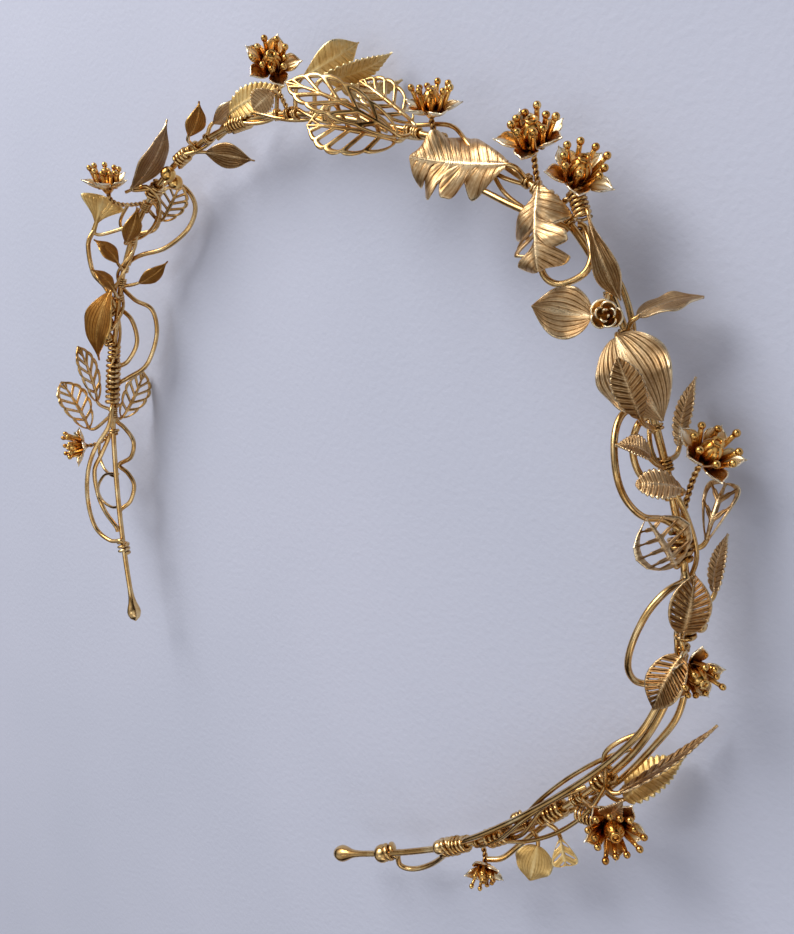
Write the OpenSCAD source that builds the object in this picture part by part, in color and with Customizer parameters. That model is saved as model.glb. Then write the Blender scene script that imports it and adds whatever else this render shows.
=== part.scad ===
// Leaf headband: a bent wire band that carries vine wires, thin metal leaves and small flowers.
// It lies on its side, as it rests by itself: the band's plane is level and +Z is the face seen.

/* [Band] */
// Diameter of the band wire
band_wire_d = 1.2; // [1:0.1:1.4]
// Largest diameter of the drop at each end of the band
end_drop_d = 3.4; // [2.6:0.2:4]
// Height of the band wire over the surface that the headband lies on
band_height = 9.82; // [9.62:0.1:11.02]
// Direction of the band at its left end, in degrees from +X
start_heading = 129; // [129:1:129]
// Length of each of the arcs that make the band
arc_length = 37.5; // [37.5:0.5:37.5]

/* [Wires and stems] */
// Diameter of the vine wires
vine_wire_d = 1; // [0.8:0.1:1.1]
// Thickness of the thin wire wrapped round the band
wrap_wire_d = 0.45; // [0.4:0.05:0.5]
// Clear distance between the band wire and a wrap or a bead threaded on it
thread_gap = 0.2; // [0.1:0.05:0.25]
// Diameter of a flower's twisted stem
flower_stem_d = 1.5; // [1.2:0.1:1.6]
// Clear distance between a stem's root and the band wire
solder_gap = 0.3; // [0.2:0.05:0.35]

/* [Leaves and flowers] */
// Thickness of a leaf
leaf_thick = 0.7; // [0.5:0.05:0.8]
// Width of a leaf's stem
leaf_stem_w = 1.2; // [1:0.1:1.4]
// Thickness of a petal
petal_thick = 0.7; // [0.6:0.05:0.8]
// Diameter of the rose bud
bud_d = 3.8; // [3.4:0.1:4]

/* [Hidden] */
// Turn of each arc of the band, in degrees, from the left end to the right end
TURNS = [12, 19, 47, 32, 10, 45, 14, 50, 21, 10];
// Left end of the band's centre line, seen from above
BAND_START = [-44.03, -68.4];
// Station of the rose bud on the band
bud_station = 227;
band_length = arc_length * len(TURNS);
band_r = band_wire_d / 2;
bore_d = band_wire_d + 2 * thread_gap;
GOLD = "#b98a45";
LEAF_GOLD = "#c9a878";
AMBER = "#6b3514";

// Each place is [station, out, up]: station is the length along the band from its left end,
// out is away from the head and up is above the band, all in millimetres.

// Leaves: name, kind, root station, base place, tip place, width, roll, bow and cup
LEAVES = [
  ["left_skeleton_leaf", "pierced", 44.5, [41, 6, 3], [51, 11, 7], 7.5, 80, 1, 0.15],
  ["left_lower_skeleton_leaf", "pierced_small", 44.5, [43.5, 1.5, -3.5], [54.5, 0, -8.4], 7, 80, 1, 0.15],
  ["left_filigree_leaf", "pierced_small", 46, [48, 2, 3], [61, 2.5, 8], 5.5, 100, 0.8, 0.1],
  ["left_folded_leaf", "lance", 77, [75, -1, 3], [58, 0.5, 3.5], 8, 15, 2, 0.3],
  ["left_small_leaf_a", "lance", 76, [78, -3.5, -2], [86, -6.5, -6], 4, 65, 0.8, 0.2],
  ["left_small_leaf_b", "lance", 73, [75.5, -2.4, 3.3], [79, 1.8, 7.2], 4, 90, 0.8, 0.2],
  ["left_small_leaf_c", "lance", 80, [82, -1.5, 3], [85, 3.5, 7], 4.5, 85, 0.8, 0.2],
  ["left_small_leaf_d", "lance", 87, [88, -2, 3], [97, -1, 3], 4.5, 80, 0.8, 0.2],
  ["calyx_leaf", "fan", 91, [87.2, 2.8, 6.5], [92.6, 6.4, 4.6], 8, -25, 0.4, 0.1],
  ["left_serrated_leaf", "serrated", 101.5, [100, 1.5, 4.5], [113, 8.5, 1], 8, 100, 1.5, 0.2],
  ["shoulder_filigree_leaf", "pierced_small", 96, [94.5, -2, -4], [105, -1, -4], 6.5, 60, 0.6, 0.1],
  ["shoulder_leaf_a", "lance", 118, [120, 1, 3], [125, 6, 3], 5, 90, 0.8, 0.2],
  ["shoulder_leaf_b", "lance", 122, [124, 2.5, -0.5], [132, 6.5, -3.5], 6, 75, 1, 0.2],
  ["shoulder_leaf_c", "lance", 116, [118, -1, -2], [126, -5, -8], 5.5, 15, -0.5, 0.2],
  ["shoulder_long_leaf", "serrated", 129, [131, 2, 1], [142, 5.5, -3], 6, 95, 1.5, 0.2],
  ["top_lance_leaf", "lance", 148, [150, 6, 1], [157, 13, -5], 5, 55, 1.5, 0.15],
  ["top_serrated_leaf_a", "serrated", 153, [154, 6, 0], [163, 12, -7], 6, 75, 1.5, 0.2],
  ["top_serrated_leaf_b", "serrated", 156, [157, 5, -2], [164, 8, -9.5], 5, 65, 1.5, 0.2],
  ["top_round_leaf", "ribbed", 143, [144, 3, 3], [142.5, 0.8, 4.5], 5, 45, 0.5, 0.2],
  ["filigree_leaf_a", "pierced", 177, [176, -1, 3], [157, 4, 11], 7, 35, 2, 0.15],
  ["filigree_leaf_b", "pierced", 175.5, [174.4, -2, 1.4], [161.4, -2.2, 9.4], 9.5, 20, 1.5, 0.15],
  ["filigree_leaf_c", "pierced", 177.5, [174.8, 1.4, -1.2], [162.8, 6.2, -0.2], 6.8, 45, 0.5, 0.15],
  ["oak_leaf_a", "oak", 201, [198.5, 1, 3], [183.4, -3.4, 7.5], 12, 20, -1, -0.15],
  ["oak_leaf_b", "oak", 204, [205.5, 1.8, 4], [216.3, -5, 7], 10.5, -5, 1, -0.15],
  ["slender_leaf", "lance", 211, [213, 4.5, 3], [226, 3, 4], 4.2, 0, 1, 0.15],
  ["bud_left_leaf", "broad", 223.5, [225.2, -2.6, 4.6], [221, -7.5, 9], 8, 25, -1, 0.2],
  ["bud_right_leaf", "broad", 229.5, [228.5, 3, 1], [229, 10.5, -5], 5.5, -55, 0.5, 0.3],
  ["broad_leaf", "broad", 231.5, [230.3, 0.5, 4], [243.4, 3.3, 4], 11, -10, 1.2, 0.2],
  ["rose_leaf", "ribbed", 244, [242.2, 1.5, 6.8], [233.7, 3.2, 11], 4.8, 30, 1, 0.2],
  ["folded_serrated_leaf", "serrated", 250, [247.8, 0, 4.2], [245, -3, 7.3], 4.5, 70, 0.8, 0.4],
  ["ribbed_serrated_leaf", "serrated", 254, [253, 3, 3], [251, -1, 8], 5, 45, 0.8, 0.2],
  ["long_serrated_leaf", "serrated", 249, [247.5, 0.6, -4.4], [238.5, 5, -6.4], 3.8, -20, 0.6, 0.2],
  ["fork_leaf", "pierced_small", 262, [261, 3, -2], [254, 5.5, -6], 4.5, -40, 0.8, 0.1],
  ["barred_leaf", "pierced", 263, [263.5, 0, 3], [256, -1.5, 6], 9, 45, 0.8, 0.1],
  ["narrow_serrated_leaf", "serrated", 270, [268.5, 3, -3], [261, 4.5, -6], 3.5, -25, 0.6, 0.2],
  ["pierced_leaf_a", "pierced", 274.5, [273, 1, 3], [264.6, 2.6, 2.5], 7.5, 30, 1, 0.15],
  ["pierced_leaf_b", "pierced", 278, [276, 1.7, 4], [284.5, 0.5, 6], 5.8, 5, 1, 0.15],
  ["end_long_leaf", "serrated", 305, [303.2, 2.9, 1], [288.7, 6.4, -8], 3, -60, -0.8, 0.2],
  ["end_under_leaf", "serrated", 306.5, [305.5, 4.2, -2.2], [296, 5.4, -8.2], 5.5, -60, 1.2, 0.2],
  ["crumpled_leaf", "serrated", 310.5, [306.8, 3.5, 3], [303, 4, 1.6], 4, 40, 0.8, 0.3],
  ["holed_leaf", "pierced_small", 320.5, [319, 3.9, 0.2], [320.3, 8, 1], 4.5, 25, 0.3, 0.1],
  ["fan_leaf", "fan", 324, [324.4, 3.7, 0], [328.6, 8.2, 1], 7, 20, 0.3, 0.15],
];

// Leaf kinds: name, rows, belly, teeth or lobes, their depth, pierced or not
KINDS = [
  ["lance", 6, 0.42, 0, 0, false],
  ["broad", 7, 0.38, 0, 0, false],
  ["ribbed", 6, 0.5, 0, 0, false],
  ["serrated", 10, 0.38, 5, 0.22, false],
  ["fan", 5, 0.72, 0, 0, false],
  ["oak", 12, 0.5, 3.5, 0.3, false],
  ["pierced", 11, 0.45, 0, 0, true],
  ["pierced_small", 9, 0.45, 0, 0, true],
];

// Flowers: name, root station, heart place, direction that the flower faces, diameter and first petal's turn
FLOWERS = [
  ["left_flower", 40.5, [36.8, 6.7, 4], [-0.25, -0.1, 0.96], 9.5, 0],
  ["shoulder_flower", 97, [95.3, 5.8, 6], [-0.21, 0.95, 0.21], 10.5, 20],
  ["top_left_flower", 146, [144.7, 7.5, 3], [0.26, 0.82, 0.52], 10.5, 10],
  ["top_flower", 183, [181.2, 3.5, 2], [-0.17, 0.92, 0.35], 9.5, 40],
  ["apex_flower", 203, [199.7, 4.9, 1], [-0.21, 0.88, 0.42], 11, 0],
  ["apex_right_flower", 208, [208.1, 5.2, 1], [0.13, 0.95, 0.28], 10.5, 30],
  ["right_flower", 258.5, [249.9, 4.5, -2.8], [0.2, 0.9, 0.38], 10.5, 45],
  ["lower_right_flower", 276.5, [278.8, 3.8, 1], [0.85, -0.14, 0.51], 9.5, 0],
  ["end_flower", 312, [309, 7.2, 1], [0.69, 0.03, 0.73], 9.5, 25],
  ["small_flower", 337, [337.2, 4.2, 0.5], [0.61, -0.18, 0.77], 7.5, 0],
];

// Vine wires: node and the places that each of its wires passes through
VINES = [
  ["left_vine_wires", [
    [[14, -1.5, 1.3], [14, 2.5, 2], [17, 6.5, 3], [23, 7, 4], [30, 4.5, 5], [36, 2.5, 4], [42, -1, 2], [46, -1.5, 1.3]],
    [[19, 1.5, 1.4], [21, 3, 2], [25, 5.5, 2], [31, 4.5, 3], [35, 2.5, 2], [38, 1.3, 0.6]],
    [[21, 1.5, -1.3], [23, -0.5, -3], [27, -2, -3.5], [30, -0.5, -3], [32, 1.5, -2], [34, -1.5, -3.5],
     [38, -3, -3.5], [41, -0.5, -3], [43, 1, -1.4]],
    [[75, 1.5, -1.3], [73, -2, -3], [72, -6, -5], [66, -7.5, -6], [58, -6, -5], [54, -2, -3], [52, 0.3, -1.5]],
    [[70, 1.5, -1.4], [68, -1.5, -3], [63, -3, -4], [58, -1.5, -3], [56, 0.5, -1.5]],
    [[87, 5.5, 7], [84, 4, 8], [78, 2.5, 6], [75, 1.5, 3], [72, 0, 1.5]],
    [[98, 1, -1.3], [102, 2, -4], [104, -1.5, -6], [103, -5.5, -7], [98, -8, -6], [90, -6.5, -4],
     [85, -2.5, -2], [82, 0, -1.3]],
    [[92, 2, -1.4], [95, 3, -4], [94, 0.5, -5], [91, -1, -4], [88, 1, -2]]]],
  ["apex_vine_wires", [
    [[181, -1.5, 2], [188, -4, 2], [199, -4, 3], [207, -2, 3.5], [211, -0.5, 1.4]],
    [[208, 1, 1.4], [212, -3.5, 4.5], [216, -5.8, 4.5], [219, -4.6, 4], [220, -0.5, 4], [218, 1.5, 3], [214, 2, 1.3]],
    [[213, 1, -1.3], [219, 0.5, -2], [223, 0.5, -3], [228, 0, -3], [232, -0.5, -1.5]]]],
  ["right_vine_wires", [
    [[240, -0.5, 1.4], [241, -2.5, 4], [244, -3.5, 6], [249, -4, 7], [253, -4, 6], [256, -3, 4],
     [257, -1, 2], [259, 1, 1.3]],
    [[242, 0, 1.4], [243, -1, 3.2], [246, -2.6, 3.4], [250, -2.6, 3], [253, -0.5, 1.5]],
    [[266, 0.5, 1.3], [267, -1, 4], [270, -3, 6], [275, -4.5, 7], [280, -5, 6], [283, -4, 4],
     [283, -2, 2], [281.5, -0.8, 1.4]]]],
  ["end_vine_wires", [
    [[283, 1.5, -1.3], [288, 2, -1.5], [294, 1.5, -1.5], [303, 1.5, -2], [312, 1.5, -2], [320, 1, -2],
     [330, 3, -2], [335, 4.5, -1.5]],
    [[285, -0.5, 1.3], [290, -0.5, 2.5], [295, -1, 3], [302, -1.5, 3], [312, -2, 3], [324, -2, 2.5],
     [333, -1.5, 2], [338.5, -1, 1.3]],
    [[362, 0.5, -1.3], [363, 3.5, -2], [361, 5, -3], [355, 4, -3], [348, 1.5, -1.3]]]],
];

// Binding wraps of thin wire round the band: station and length
WRAPS = [[12, 3], [60, 4], [113, 4], [206, 2], [235, 2.5], [317, 4], [341.5, 4]];

// Small beads: station, out, up and diameter; a bead at out 0 and up 0 is threaded on the band
BEADS = [
  [70.5, 1.2, 1.5, 2.2], [67, 1.2, 1.5, 2.2], [63.5, 1.2, 1.4, 2], [109, -1.7, 1.7, 3.2], [106.5, -1.8, -1.5, 3.2],
  [273, 1.7, -1.2, 2.4], [321, -1.6, -1, 2.2], [327, -1.6, -1, 2.2], [347, 1.3, 1.4, 2.2], [365, 0, 0, 4],
];

leaf_names = [for (row = LEAVES) row[0]];
flower_names = [for (row = FLOWERS) row[0]];
vine_names = [for (row = VINES) row[0]];

function unit(v) = v / norm(v);
function dot(a, b) = a * b;
function square_to(v, axis) = unit(v - axis * dot(v, axis));

// Band centre line, worked out from its arcs
function arc_end(p, heading, turn, a) =
  let (r = arc_length * 180 / (PI * turn), phi = turn * a / arc_length)
  p + r * [sin(heading) - sin(heading - phi), cos(heading - phi) - cos(heading)];
ARCS = [for (i = 0, p = BAND_START, h = start_heading; i < len(TURNS);
             p = arc_end(p, h, TURNS[i], arc_length), h = h - TURNS[i], i = i + 1) [p, h]];
function arc_of(s) = max(0, min(len(TURNS) - 1, floor(s / arc_length)));
function heading(s) = let (i = arc_of(s)) ARCS[i][1] - TURNS[i] * (s - i * arc_length) / arc_length;
function centre(s) = let (i = arc_of(s)) arc_end(ARCS[i][0], ARCS[i][1], TURNS[i], s - i * arc_length);
function outward(s) = [-sin(heading(s)), cos(heading(s)), 0];
function place(p) = let (c = centre(p[0])) [c.x, c.y, band_height] + p[1] * outward(p[0]) + [0, 0, p[2]];

// Place where a stem that leaves for a target is soldered to the band wire
function root_place(station, target) =
  let (c = place([station, 0, 0]), away = target - c, t = [cos(heading(station)), sin(heading(station)), 0])
  c + square_to(away, t) * (band_r + solder_gap);

// Frames carried along a path, so that a section keeps from turning about it
function directions(path) = [for (i = [0:len(path) - 1])
  unit(path[min(i + 1, len(path) - 1)] - path[max(i - 1, 0)])];
function carried(dirs, first) = [for (i = 0, n = square_to(first, dirs[0]); i < len(dirs);
  i = i + 1, n = i < len(dirs) ? square_to(n, dirs[i]) : n) n];

// Round tube through the rings of a path, with a radius for each ring
module tube(path, radii, first_normal, sides, leaving = undef) {
  plain = directions(path);
  dirs = [for (i = [0:len(plain) - 1]) i == 0 && leaving != undef ? leaving : plain[i]];
  normals = carried(dirs, first_normal);
  last = len(path) - 1;
  points = [for (i = [0:last], k = [0:sides - 1])
    let (a = 360 * k / sides, b = cross(dirs[i], normals[i]))
    path[i] + radii[i] * (normals[i] * cos(a) + b * sin(a))];
  sides_faces = [for (i = [0:last - 1], k = [0:sides - 1])
    let (a = i * sides + k, b = i * sides + (k + 1) % sides)
    each [[a, a + sides, b + sides], [a, b + sides, b]]];
  polyhedron(points, concat([[for (k = [0:sides - 1]) k]], sides_faces,
    [[for (k = [sides - 1:-1:0]) last * sides + k]]));
}

// Thin sheet over rows of points: every cell that is kept is metal
module sheet(rows, normals, thick, kept) {
  n = len(rows) - 1;
  m = len(rows[0]) - 1;
  count = (n + 1) * (m + 1);
  points = concat(
    [for (i = [0:n], j = [0:m]) rows[i][j] + normals[i] * thick / 2],
    [for (i = [0:n], j = [0:m]) rows[i][j] - normals[i] * thick / 2]);
  function top(i, j) = i * (m + 1) + j;
  function under(i, j) = count + top(i, j);
  function metal(i, j) = i >= 0 && j >= 0 && i < n && j < m && kept[i][j];
  function wall(a, b) = [[a, b, b + count], [a, b + count, a + count]];
  faces = [for (i = [0:n - 1], j = [0:m - 1]) if (metal(i, j)) each concat(
    [[top(i, j), top(i, j + 1), top(i + 1, j + 1)], [top(i, j), top(i + 1, j + 1), top(i + 1, j)],
     [under(i, j), under(i + 1, j + 1), under(i, j + 1)],
     [under(i, j), under(i + 1, j), under(i + 1, j + 1)]],
    metal(i, j - 1) ? [] : wall(top(i, j), top(i + 1, j)),
    metal(i, j + 1) ? [] : wall(top(i + 1, j + 1), top(i, j + 1)),
    metal(i - 1, j) ? [] : wall(top(i, j + 1), top(i, j)),
    metal(i + 1, j) ? [] : wall(top(i + 1, j), top(i + 1, j + 1)))];
  polyhedron(points, faces);
}

// Half width of a leaf as a share of its widest, for t from base to tip
function outline(t, belly) = pow(max(0, sin(180 * pow(t, ln(0.5) / ln(belly)))), 0.8 + 0.3 * t);
function edge(i, n, kind) =
  let (t = i / n, h = outline(t, kind[2]))
  kind[0] == "oak" ? h * (1 - kind[4] * (0.5 + 0.5 * cos(360 * kind[3] * t))) :
  kind[3] > 0 ? h * (1 - kind[4] * (i % 2)) : h;

// Leaf on its stem: the stem leaves the band wire and turns into the leaf's midrib
module leaf(row) {
  kind = KINDS[search([row[1]], KINDS)[0]];
  base = place(row[3]);
  tip = place(row[4]);
  long = norm(tip - base);
  d = (tip - base) / long;
  flat = square_to([0, 0, 1], d);
  n = flat * cos(row[6]) + cross(d, flat) * sin(row[6]);
  side = cross(n, d);
  half = row[5] / 2;
  least = leaf_stem_w / 2 / half;
  pierced = kind[5];
  across = pierced ? [-1, -0.7, -0.14, 0.14, 0.7, 1] : [-1, 0, 1];
  slant = pierced ? 0.5 : 0;
  nr = kind[1];
  function along(i) = pierced ? (floor(i / 2) + (i % 2) * 0.4) / (floor(nr / 2) + 0.4) : i / nr;
  function point(i, v) =
    let (t0 = along(i), h = max(i == nr ? 0.5 * least : least, pierced ? outline(t0, kind[2]) : edge(i, nr, kind)),
         t = t0 + slant * abs(v) * t0 * (1 - t0))
    base + d * long * t + side * v * half * h + n * (4 * row[7] * t * (1 - t) + row[8] * half * h * abs(v));
  bow_start = unit(d * long + n * 4 * row[7]);
  bend = min(2, 0.35 * norm(base - place([row[2], 0, 0])));
  root = root_place(row[2], base - bow_start * bend);
  elbow = 0.25 * root + 0.5 * (base - bow_start * bend) + 0.25 * base;
  to_base = unit(base - elbow);
  from_band = unit(root - place([row[2], 0, 0]));
  n1 = square_to(n, to_base);
  n0 = square_to(n1, from_band);
  stem_rows = [
    [for (v = across) root + cross(n0, from_band) * v * leaf_stem_w / 2],
    [for (v = across) elbow + cross(n1, to_base) * v * leaf_stem_w / 2]];
  rows = concat(stem_rows, [for (i = [0:nr]) [for (v = across) point(i, v)]]);
  normals = concat([n0, n1], [for (i = [0:nr]) n]);
  kept = [for (i = [0:len(rows) - 2]) [for (j = [0:len(across) - 2])
    !(pierced && i > 2 && i < len(rows) - 2 && i % 2 == 1 && (j == 1 || j == 3))]];
  color(LEAF_GOLD) sheet(rows, normals, leaf_thick, kept);
}

module band_wire() {
  steps = [for (s = [6.25:6.25:band_length - 6.25]) [s, band_r]];
  left = [[-6.5, 0.3], [-5.5, 1.2], [-4, end_drop_d / 2], [-2, 1.3], [0, 0.8], [2, band_r]];
  right = [for (k = [len(left) - 1:-1:0]) [band_length - left[k][0], left[k][1]]];
  rings = concat(left, steps, right);
  color(GOLD) tube([for (r = rings) place([r[0], 0, 0])], [for (r = rings) r[1]], [0, 0, 1], 6);
}

// Smooth path through places on the band
function spline(p, u) = let (i = min(floor(u), len(p) - 2), f = u - i,
    a = p[max(i - 1, 0)], b = p[i], c = p[i + 1], d = p[min(i + 2, len(p) - 1)])
  b + f / 2 * (c - a) + f * f * (a - 2.5 * b + 2 * c - d / 2) + f * f * f / 2 * (3 * (b - c) + d - a);

module vine(row) {
  color(GOLD) for (spots = row[1]) {
    steps = 2 * (len(spots) - 1);
    path = [for (k = [0:steps]) place(spline(spots, k / 2))];
    tube(path, [for (p = path) vine_wire_d / 2], [0.1, 0.2, 1], 5);
  }
}

// One petal of a flower whose radius is r, standing at angle a
module petal(r, a) {
  spans = [[0.16, 0.08, 0.04], [0.62, 0.33, 0.16], [1, 0.12, 0.4]];
  rows = [for (s = spans) [for (v = [-1, 0, 1]) r * [s[0], v * s[1], s[2] + 0.1 * v * v]]];
  rotate(a) sheet(rows, [for (s = spans) [0, 0, 1]], petal_thick, [for (i = [0:1]) [true, true]]);
}

module stamen(r, a) {
  hull() {
    rotate(a) translate([0.12 * r, 0, 0.1 * r]) cylinder(r = 0.35, h = 0.2, $fn = 4);
    rotate(a) translate([0.48 * r, 0, 0.9 * r]) cylinder(r = 0.5, h = 0.6, $fn = 4);
  }
}

module flower(row) {
  heart = place(row[2]);
  axis = unit(row[3]);
  r = row[4] / 2;
  foot = heart - axis * 1.2;
  bend = foot - axis * min(3, 0.5 * norm(foot - place([row[1], 0, 0])));
  root = root_place(row[1], bend);
  path = [for (u = [0:0.5:1]) (1 - u) * (1 - u) * root + 2 * u * (1 - u) * bend + u * u * heart];
  x = square_to([0.3, 0.2, 1], axis);
  y = cross(axis, x);
  color(AMBER) union() {
    tube(path, [for (p = path) flower_stem_d / 2], x, 4, unit(root - place([row[1], 0, 0])));
    multmatrix([[x.x, y.x, axis.x, heart.x], [x.y, y.y, axis.y, heart.y], [x.z, y.z, axis.z, heart.z]]) {
      for (k = [0:4]) petal(r, row[5] + 72 * k);
      for (k = [0:5]) stamen(r, row[5] + 36 + 60 * k);
      hull() {
        translate([0, 0, -0.8]) cylinder(r = 0.6, h = 0.4, $fn = 5);
        cylinder(r = 0.26 * r, h = 0.25 * r, $fn = 5);
      }
      cylinder(r1 = 0.2 * r, r2 = 0.13 * r, h = 0.75 * r, $fn = 5);
    }
  }
}

module binding_wraps() {
  color(GOLD) for (w = WRAPS) translate(place([w[0], 0, 0])) rotate([0, 0, heading(w[0])]) rotate([0, 90, 0])
    difference() {
      cylinder(d = bore_d + 2 * wrap_wire_d, h = w[1], center = true, $fn = 24);
      cylinder(d = bore_d, h = w[1] + 1, center = true, $fn = 24);
    }
}

module beads() {
  color(GOLD) for (b = BEADS) translate(place([b[0], b[1], b[2]])) difference() {
    sphere(d = b[3], $fn = 24);
    if (b[1] == 0 && b[2] == 0)
      rotate([0, 0, heading(b[0])]) rotate([0, 90, 0])
        cylinder(d = bore_d, h = b[3] + 1, center = true, $fn = 24);
  }
}

module rose_bud() {
  profile = [[0, 0.8], [0.6, 0.8], [0.6, 3.8], [1.5, 4.3], [bud_d / 2, 5.4], [bud_d / 2 - 0.2, 6.4],
    [1.2, 7], [0.5, 6.8], [0, 7.1]];
  color(LEAF_GOLD) translate(place([bud_station, 0, 0])) rotate_extrude($fn = 32) polygon(profile);
}

band_wire();
binding_wraps();
beads();
rose_bud();
for (row = VINES) vine(row);
for (row = LEAVES) leaf(row);
for (row = FLOWERS) flower(row);
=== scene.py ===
# %% [markdown]
# # A leaf headband
# A bent wire band carries vine wires, stamped metal leaves and small five-petalled flowers.
# Every piece is thin gilt metal, so the lesson is about sheets that bend and wires that wind.

# %% Load the solids
import bpy
import math
from mathutils import Matrix, Vector


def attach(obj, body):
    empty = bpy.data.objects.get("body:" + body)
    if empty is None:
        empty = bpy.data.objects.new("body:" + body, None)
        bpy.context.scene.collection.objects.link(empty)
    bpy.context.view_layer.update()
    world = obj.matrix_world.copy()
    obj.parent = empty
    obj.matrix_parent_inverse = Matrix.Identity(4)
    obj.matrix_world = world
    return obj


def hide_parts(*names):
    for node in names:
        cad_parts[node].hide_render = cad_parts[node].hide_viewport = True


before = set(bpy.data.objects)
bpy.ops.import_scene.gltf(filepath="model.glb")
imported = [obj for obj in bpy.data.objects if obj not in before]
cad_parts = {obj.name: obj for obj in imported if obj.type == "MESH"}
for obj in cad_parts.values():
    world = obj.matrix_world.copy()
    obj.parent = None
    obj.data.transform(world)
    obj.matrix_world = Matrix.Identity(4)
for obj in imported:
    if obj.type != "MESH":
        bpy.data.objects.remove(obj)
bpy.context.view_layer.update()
print("solids:", len(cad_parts))

# %% [markdown]
# The camera comes first. It was worked out together with the band's bends, so that the band's
# middle line falls on the photographed wire. It looks down from beyond the band's top, on the
# right, and is rolled to one side, as a camera held in the hand is.

# %% Camera
MM = 0.001


def add(name, data):
    """A new object in the scene."""
    thing = bpy.data.objects.new(name, data)
    bpy.context.scene.collection.objects.link(thing)
    return thing


camera = add("camera", bpy.data.cameras.new("camera"))
view_right = (0.6702, 0.3473, -0.6559)
view_up = (-0.5648, 0.8120, -0.1472)
view_back = (0.4815, 0.4691, 0.7403)
camera.matrix_world = Matrix.Translation(Vector((94.66, 89.66, 135.42)) * MM) @ Matrix(
    (view_right, view_up, view_back)).transposed().to_4x4()
camera.data.lens = 36.62
camera.data.sensor_width = 36
camera.data.clip_start = 0.01
bpy.context.scene.camera = camera
print("camera height:", round(camera.location.z * 1000), "mm")

# %% [markdown]
# The band's middle line is a chain of arcs of one length, each with its own turn. A place on
# the headband is given as its station along the band, its distance out and its height over it,
# all in millimetres, as a maker would measure it.

# %% Places along the band
ARC = 37.5
TURNS = (12, 19, 47, 32, 10, 45, 14, 50, 21, 10)  # degrees
LEFT_END, FIRST_HEADING = (-44.03, -68.4), 129
BAND_HEIGHT = 9.82
BAND_LENGTH = ARC * len(TURNS)
BAND_R = 0.6


def arc_end(point, heading, turn, length):
    radius = ARC / math.radians(turn)
    a, b = math.radians(heading), math.radians(heading - turn * length / ARC)
    return (point[0] + radius * (math.sin(a) - math.sin(b)),
            point[1] + radius * (math.cos(b) - math.cos(a)))


arcs = [(LEFT_END, FIRST_HEADING)]
for turn in TURNS:
    arcs.append((arc_end(*arcs[-1], turn, ARC), arcs[-1][1] - turn))


def band_frame(station):
    """Middle of the wire, its direction and the direction away from the head."""
    i = max(0, min(len(TURNS) - 1, int(station // ARC)))
    rest = station - i * ARC
    x, y = arc_end(*arcs[i], TURNS[i], rest)
    a = math.radians(arcs[i][1] - TURNS[i] * rest / ARC)
    along = Vector((math.cos(a), math.sin(a), 0))
    return Vector((x, y, BAND_HEIGHT)), along, Vector((-along.y, along.x, 0))


def place(spot):
    """Station, out and up, to a point in millimetres."""
    middle, along, out = band_frame(spot[0])
    return middle + out * spot[1] + Vector((0, 0, spot[2]))


print("band ends:", place((0, 0, 0)), place((BAND_LENGTH, 0, 0)))

# %% [markdown]
# Sums in node trees are easier to read as sums. This class wraps one socket: adding or
# multiplying it adds Math nodes, `least` and `most` keep it at least or at most a number, and
# its `node` method adds any other node. It serves the geometry trees, which bend the metal, and
# the material trees, which finish it.

# %% Sums in node trees
class Flow:
    def __init__(self, tree, socket=None):
        self.tree, self.socket = tree, socket

    def node(self, kind, *values, out=0, into=None, **settings):
        made = self.tree.nodes.new(kind)
        for name, value in settings.items():
            if name == "stops":
                ramp = made.color_ramp.elements
                while len(ramp) < len(value):
                    ramp.new(1)
                for stop, (position, colour) in zip(ramp, value):
                    stop.position, stop.color = position, (*colour, 1)
            else:
                setattr(made, name, value)
        free = [s for s in made.inputs if s.enabled]
        named = [(next(s for s in free if s.name == key), value) for key, value in (into or {}).items()]
        for socket, value in [*zip(free, values), *named]:
            if isinstance(value, Flow):
                self.tree.links.new(value.socket, socket)
            else:
                socket.default_value = value
        found = [s for s in made.outputs if s.enabled]
        chosen = found[out] if isinstance(out, int) else next(s for s in found if s.name == out)
        return Flow(self.tree, chosen)

    def maths(self, operation, *values):
        return self.node("ShaderNodeMath", *values, operation=operation)

    def __add__(self, other): return self.maths("ADD", self, other)
    def __radd__(self, other): return self.maths("ADD", other, self)
    def __sub__(self, other): return self.maths("SUBTRACT", self, other)
    def __rsub__(self, other): return self.maths("SUBTRACT", other, self)
    def __mul__(self, other): return self.maths("MULTIPLY", self, other)
    def __rmul__(self, other): return self.maths("MULTIPLY", other, self)
    def __truediv__(self, other): return self.maths("DIVIDE", self, other)
    def __pow__(self, other): return self.maths("POWER", self, other)
    def __gt__(self, other): return self.maths("GREATER_THAN", self, other)
    def __lt__(self, other): return self.maths("LESS_THAN", self, other)
    def __abs__(self): return self.maths("ABSOLUTE", self)

    def sin(self): return self.maths("SINE", self)
    def cos(self): return self.maths("COSINE", self)
    def fraction(self): return self.maths("FRACT", self)
    def least(self, other): return self.maths("MAXIMUM", self, other)
    def most(self, other): return self.maths("MINIMUM", self, other)

    def parts(self):
        split = self.node("ShaderNodeSeparateXYZ", self)
        return [Flow(self.tree, s) for s in split.socket.node.outputs]

    def point(self, x, y, z):
        return self.node("ShaderNodeCombineXYZ", x, y, z)


TAU = 2 * math.pi

# %% [markdown]
# Three helpers run a geometry tree: one starts it with named sizes, one ends it with real
# geometry and a material, and one runs it and keeps the result as a plain mesh. Sheets start as
# a flat grid. Its points are marked for the finish while it is flat, and only then moved.

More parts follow.
